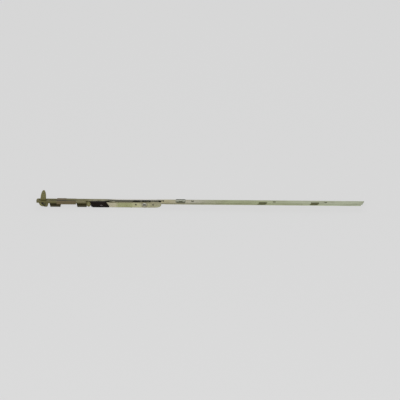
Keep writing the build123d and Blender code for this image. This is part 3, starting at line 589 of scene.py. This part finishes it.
def faceplate_finish():
    """Passivated zinc whose tint changes along its length, darker over the gears, with painted shade in
    slots, openings, screw holes, beside the housing, around the cam and along a line, painted light on its
    front wall and a painted highlight at its back.
    """
    f = metal("faceplate_finish", faceplate_tone)
    by_case = f.between("X", beside_case, soft=14)
    at_back = f.edge_between("Y", back_strip)
    at_front = f.edge_between("Y", front_wall)
    # Painted highlight: a pale strip along the back of the top over the case
    f.repaint(f.times(by_case, at_back), painted_back_highlight)
    # Painted light: the front wall beside the case, the blocks and the nose in lighter shades than the top
    f.repaint(f.times(by_case, at_front), lit_case_wall)
    f.repaint(f.times(f.between("X", beside_blocks, soft=8), at_front), lit_block_wall)
    f.repaint(f.times(f.between("X", beside_nose, soft=6), at_front), lit_nose_wall)
    # The top over the case darkened further in two near-black bands
    f.paint_rectangle(thin_dark_band, thin_dark_depth, soft=(8, 1.2), share=0.4)
    f.paint_rectangle(thick_dark_band, thick_dark_depth, soft=(6, 1.2), share=0.35)
    # Painted shade: the front wall darkened where it meets the housing
    by_housing = f.times(f.between("X", beside_housing, soft=2), at_front)
    f.repaint(f.times(by_housing, strong), near_black)
    # Painted shade: the upright walls inside the slots darkened
    in_slots = f.times(f.between("Y", slot_depth, soft=0.2), f.between("X", slotted, soft=2))
    f.repaint(f.times(in_slots, f.upright()), near_black)
    # Painted shade: near-black on the top in front of each opening, for the dark gaps there
    for opening in shaded_openings:
        f.paint_rectangle(opening, opening_front, soft=(1.2, 0.3), share=heavy)
    # Painted shade in the screw holes
    for hole in screw_holes:
        around = (hole - hole_shade_reach, hole + hole_shade_reach)
        f.paint_rectangle(around, (-hole_shade_reach, hole_shade_reach), soft=(0.5, 0.5), share=strong, shade=hole_shade)
    # Painted shadow on the plate in front of and behind the cam
    for depth in (before_cam, behind_cam):
        f.paint_rectangle(under_cam, depth, soft=(1.5, 0.5), share=0.5)
    # Painted shadow: a dark line along the plate beside the saddle
    f.paint_rectangle(shadow_line, shadow_line_depth, soft=(6, 0.6), share=strong)
    return f.material


def tongue_finish():
    """Olive plating with painted shade along the fork, from the pivot down to the drive pin."""
    f = metal("tongue_finish", tongue_olive)
    across = f.maths("ABSOLUTE", f.line(fork_middle, fork_across), 0.0)
    along = f.maths("ABSOLUTE", f.line(fork_middle, fork_along), 0.0)
    beside = f.span(across, fork_shade_half_width[0] * mm, fork_shade_half_width[1] * mm)
    within = f.span(along, fork_shade_half_length[0] * mm, fork_shade_half_length[1] * mm)
    # Painted shade: a near-black band along the fork
    f.repaint(f.times(f.times(beside, within), heavy), near_black)
    return f.material


def follower_finish():
    """Bright hub, with painted shade in a near-black band across its teeth."""
    f = metal("follower_finish", hub_bright, shade_reach=1 * mm)
    # Painted shade: a near-black band across the teeth
    f.repaint(f.times(f.between("Y", teeth_band, soft=0.2), heavy), near_black)
    return f.material


def cam_finish(name, highlight_band):
    """Dark steel, dark also as painted shade at its back and front, with a painted highlight in a pale band
    across its top.
    """
    f = metal(name, cam_dark)
    # Painted highlight: a pale band across the top
    f.repaint(f.times(f.between("Y", highlight_band, soft=0.6), strong), cam_highlight_pale)
    return f.material


def saddle_finish():
    """Brown sheet with a painted shadow line along its middle and painted light on its walls, a lighter
    brown.
    """
    f = metal("saddle_finish", saddle_brown)
    # Painted shadow: a near-black line along the middle
    f.repaint(f.times(f.between("Y", saddle_shadow_band, soft=0.8), heavy), near_black)
    # Painted light: the upright walls a lighter brown than the top
    f.repaint(f.times(f.upright(), strong), saddle_lit_wall_brown)
    return f.material


def housing_finish():
    """Black plastic with a darker low edge and one painted highlight, a torn pale patch for a glint."""
    f = plastic("housing_finish", housing_black, 0.3, specular=0.05, light=housing_rubbed)
    f.repaint(f.edge_between("Z", housing_low_edge), housing_low)
    # Painted highlight: a torn pale patch on the front for a glint
    glint = f.times(f.between("X", glint_along, soft=1.5), f.between("Z", glint_up, soft=0.6))
    torn = f.patches(glint_waves, low=0.42, high=0.55, detail=3.0, shift=(4, 1, 2))
    f.repaint(f.times(f.times(glint, torn), heavy), glint_grey)
    return f.material


def block_finish():
    """Dark plastic, paler towards its low edge."""
    f = plastic("block_finish", block_black, 0.55, specular=0.1, light=block_rubbed)
    f.repaint(f.edge_between("Z", block_low_edge), block_low_pale)
    return f.material


def make_finishes():
    """Every CAD node's material."""
    assign(faceplate_finish(), "faceplate")
    assign(metal("rod_finish", rod_tone).material,
           "drive_rod_left", "drive_rod_right", "end_coupler")
    assign(metal("case_finish", case_tone, cloud=0.3).material,
           "case_front", "case_back", "case_rivets")
    assign(metal("ring_finish", ring_tone).material, "hub_ring_front", "hub_ring_back")
    assign(metal("sleeve_finish", sleeve_tone, shade_reach=1 * mm).material, "screw_sleeves")
    assign(tongue_finish(), "tongue", "head_bracket")
    assign(cam_finish("cam_base_finish", base_highlight_band), "cam_base")
    assign(cam_finish("roller_finish", roller_highlight_band), "cam_roller", "cam_stud")
    assign(metal("gear_finish", gear_grey).material, "rack")
    assign(follower_finish(), "follower")
    assign(metal("rivet_finish", rivet_brown).material,
           "coupler_rivets", "rack_rivets", "block_rivets", "lever_pin", "lever_spring")
    assign(metal("dark_finish", oiled_pin, metallic=0.4, specular=0.3).material,
           "pivot_pin", "drive_pin", "guide_studs")
    assign(block_finish(), "tongue_pocket", "guide_block")
    assign(saddle_finish(), "saddle")
    assign(housing_finish(), "lever_housing")
    assign(metal("lever_finish", lever_olive).material, "blocking_lever")
    assign(plastic("clip_finish", clip_olive, 0.5, specular=0.2).material,
           "rod_clip_left", "rod_clip_right")


bpy.context.scene.view_settings.view_transform = "Standard"
make_camera()
make_world()
make_lamp("key", place=(-0.7, -2.2, 1.6), size=(1.6, 1.0), watts=22)
make_lamp("fill", place=(1.2, -2.0, 0.9), size=(1.4, 1.0), watts=10)
make_lamp("back", place=(0.2, 1.9, 1.8), size=(2.0, 0.7), watts=5)
make_floor()
make_finishes()
for node_name in ("faceplate", "case_front", "case_back", "saddle"):
    break_edges(node_name, sheet_edge)
for node_name in ("drive_rod_left", "drive_rod_right", "tongue", "head_bracket", "blocking_lever"):
    break_edges(node_name, fine_edge)
